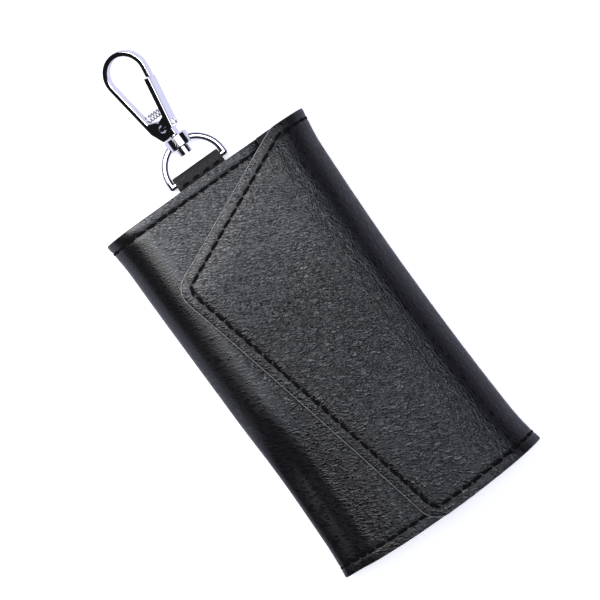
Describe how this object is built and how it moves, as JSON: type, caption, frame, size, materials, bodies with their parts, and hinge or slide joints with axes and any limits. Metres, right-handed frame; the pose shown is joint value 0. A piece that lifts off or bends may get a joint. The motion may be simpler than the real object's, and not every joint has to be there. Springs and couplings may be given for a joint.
{
  "type": "folding leather key case",
  "caption": "Folding leather case with a slanted snap flap, a rack of key hooks and a split ring inside, and a swivel snap hook on a strap at its top edge.",
  "frame": {"origin": "centre of the outer face of the back panel", "axes": "+X from the left fold to the right fold, +Y along the case towards the snap hook, +Z from the back panel up to the flap"},
  "size_m": [0.065, 0.1575, 0.017],
  "materials": {
    "outer_leather": "grained, slightly glossy",
    "lining_leather": "fine grain, satin",
    "fold_suede": "matt suede",
    "chrome_metal": "polished plating",
    "spring_steel": "bright drawn wire"
  },
  "bodies": {
    "back": {"back_leather": "outer_leather", "back_lining": "lining_leather", "left_band": "fold_suede", "hook_strap": "outer_leather", "rack_plate": "chrome_metal", "rack_rod": "chrome_metal", "rack_rivets": "chrome_metal"},
    "right_spine": {"right_spine_leather": "outer_leather", "right_band": "fold_suede"},
    "flap": {"flap_leather": "outer_leather", "flap_lining": "lining_leather", "snap_sockets": "chrome_metal", "snap_socket_springs": "spring_steel", "snap_socket_backs": "chrome_metal"},
    "front_panel": {"front_leather": "outer_leather", "front_lining": "lining_leather", "snap_studs": "chrome_metal", "snap_stud_backs": "chrome_metal", "ring_tab": "outer_leather", "tab_rivet": "chrome_metal", "tab_rivet_washer": "chrome_metal"},
    "key_ring": {"key_ring": "chrome_metal"},
    "swivel_ring": {"swivel_ring": "chrome_metal"},
    "snap_hook": {"hook_body": "chrome_metal", "gate_rivet": "chrome_metal", "gate_spring": "spring_steel"},
    "gate": {"hook_gate": "chrome_metal"},
    "key_hook_1": {"key_hook_1": "chrome_metal", "key_keeper_1": "spring_steel"},
    "key_hook_2": {"key_hook_2": "chrome_metal", "key_keeper_2": "spring_steel"},
    "key_hook_3": {"key_hook_3": "chrome_metal", "key_keeper_3": "spring_steel"},
    "key_hook_4": {"key_hook_4": "chrome_metal", "key_keeper_4": "spring_steel"},
    "key_hook_5": {"key_hook_5": "chrome_metal", "key_keeper_5": "spring_steel"},
    "key_hook_6": {"key_hook_6": "chrome_metal", "key_keeper_6": "spring_steel"},
    "key_hook_7": {"key_hook_7": "chrome_metal", "key_keeper_7": "spring_steel"}
  },
  "joints": [
    {"name": "right_fold", "type": "hinge", "parent": "back", "child": "right_spine", "pos_m": [0.03074, 0, 0.00176], "axis": [0, 1, 0], "range_deg": [0, 82.64]},
    {"name": "flap_fold", "type": "hinge", "parent": "right_spine", "child": "flap", "pos_m": [0.02915, 0, 0.01231], "axis": [0, 1, 0], "range_deg": [0, 97.37]},
    {"name": "front_fold", "type": "hinge", "parent": "back", "child": "front_panel", "pos_m": [-0.02999, 0, 0.0099], "axis": [0, -1, 0], "range_deg": [0, 76.01]},
    {"name": "key_ring_swing", "type": "hinge", "parent": "front_panel", "child": "key_ring", "pos_m": [-0.0024, -0.02515, 0.00845], "axis": [1, 0, 0], "range_deg": [-8, 1]},
    {"name": "strap_ring_swing", "type": "hinge", "parent": "back", "child": "swivel_ring", "pos_m": [0, 0.06005, 0.00315], "axis": [1, 0, 0], "range_deg": [-3, 70]},
    {"name": "hook_swivel", "type": "hinge", "parent": "swivel_ring", "child": "snap_hook", "pos_m": [0, 0.06005, 0.00315], "axis": [0, 0.9969, 0.0785], "continuous": true},
    {"name": "gate_pivot", "type": "hinge", "parent": "snap_hook", "child": "gate", "pos_m": [-0.00043, 0.07502, 0.00408], "axis": [-0.5, -0.0679, 0.8634], "range_deg": [0, 20], "stiffness_Nm_per_rad": 0.004, "springref_deg": -8.59, "deforming": ["gate_spring"]},
    {"name": "key_hook_1_swing", "type": "hinge", "parent": "back", "child": "key_hook_1", "pos_m": [-0.0222, 0.044, 0.0036], "axis": [-1, 0, 0], "range_deg": [-4, 10]},
    {"name": "key_hook_2_swing", "type": "hinge", "parent": "back", "child": "key_hook_2", "pos_m": [-0.0148, 0.044, 0.0036], "axis": [-1, 0, 0], "range_deg": [-4, 10]},
    {"name": "key_hook_3_swing", "type": "hinge", "parent": "back", "child": "key_hook_3", "pos_m": [-0.0074, 0.044, 0.0036], "axis": [-1, 0, 0], "range_deg": [-4, 10]},
    {"name": "key_hook_4_swing", "type": "hinge", "parent": "back", "child": "key_hook_4", "pos_m": [0, 0.044, 0.0036], "axis": [-1, 0, 0], "range_deg": [-4, 10]},
    {"name": "key_hook_5_swing", "type": "hinge", "parent": "back", "child": "key_hook_5", "pos_m": [0.0074, 0.044, 0.0036], "axis": [-1, 0, 0], "range_deg": [-4, 10]},
    {"name": "key_hook_6_swing", "type": "hinge", "parent": "back", "child": "key_hook_6", "pos_m": [0.0148, 0.044, 0.0036], "axis": [-1, 0, 0], "range_deg": [-4, 10]},
    {"name": "key_hook_7_swing", "type": "hinge", "parent": "back", "child": "key_hook_7", "pos_m": [0.0222, 0.044, 0.0036], "axis": [-1, 0, 0], "range_deg": [-4, 10]}
  ],
  "couplings": [
    {"joint": "flap_fold", "follows": "right_fold", "ratio": 1.1782},
    {"joint": "front_fold", "follows": "right_fold", "ratio": 0.91968}
  ]
}
